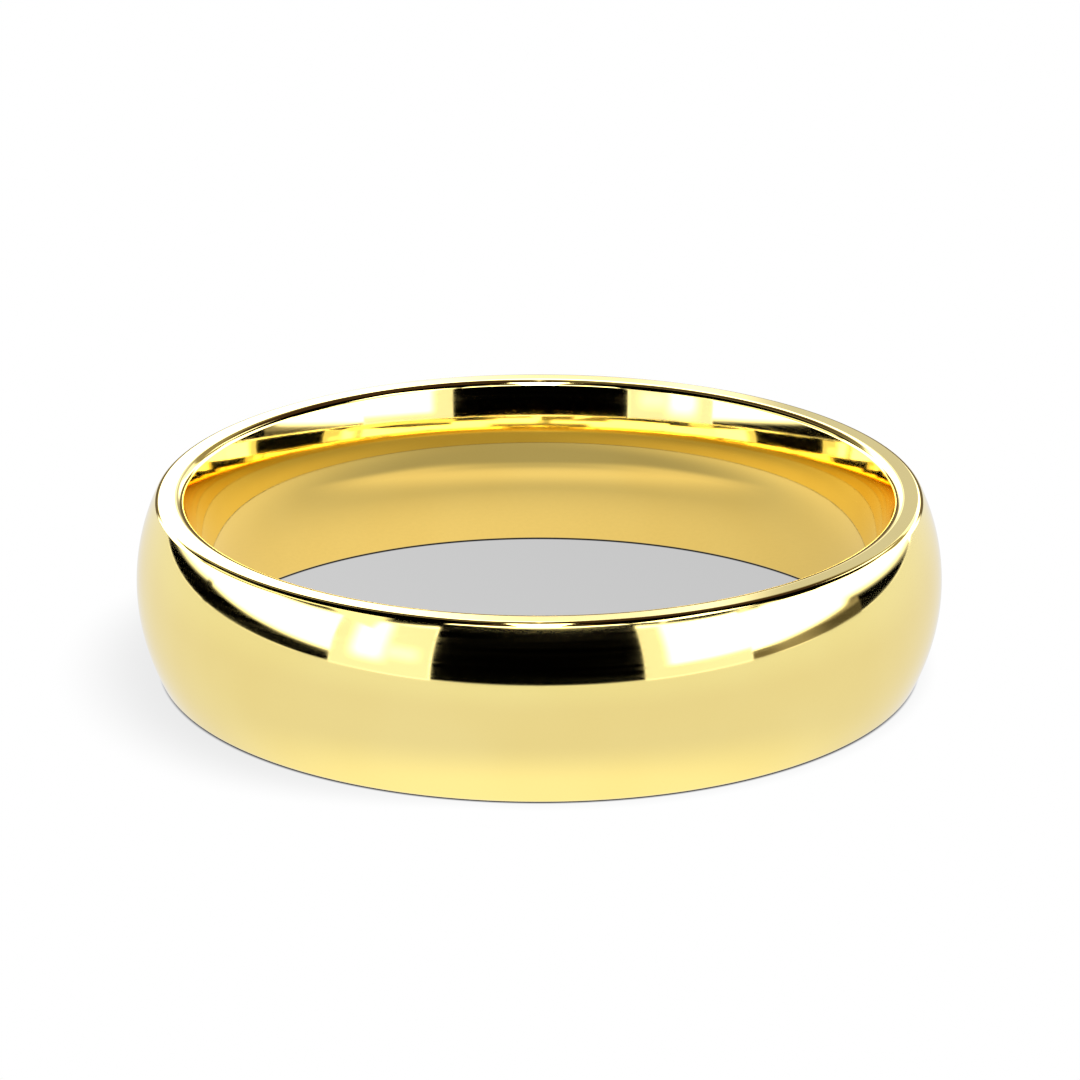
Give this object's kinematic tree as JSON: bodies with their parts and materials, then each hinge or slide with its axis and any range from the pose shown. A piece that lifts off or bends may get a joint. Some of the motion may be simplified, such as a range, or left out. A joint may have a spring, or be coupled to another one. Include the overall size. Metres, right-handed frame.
{
  "type": "wedding band",
  "caption": "Plain court wedding band: domed outside, comfort-fit inside, narrow flat side faces, mirror-polished yellow gold.",
  "frame": {"origin": "centre of the side face that the ring lies on, on the ring's axis", "axes": "+Z along the ring's axis, up from the surface it lies on; the ring is the same all round, so +X and +Y are any two square directions"},
  "size_m": [0.0224, 0.0224, 0.005],
  "materials": {
    "gold": "mirror-polished yellow gold"
  },
  "bodies": {
    "root": {"band": "gold"}
  },
  "joints": []
}
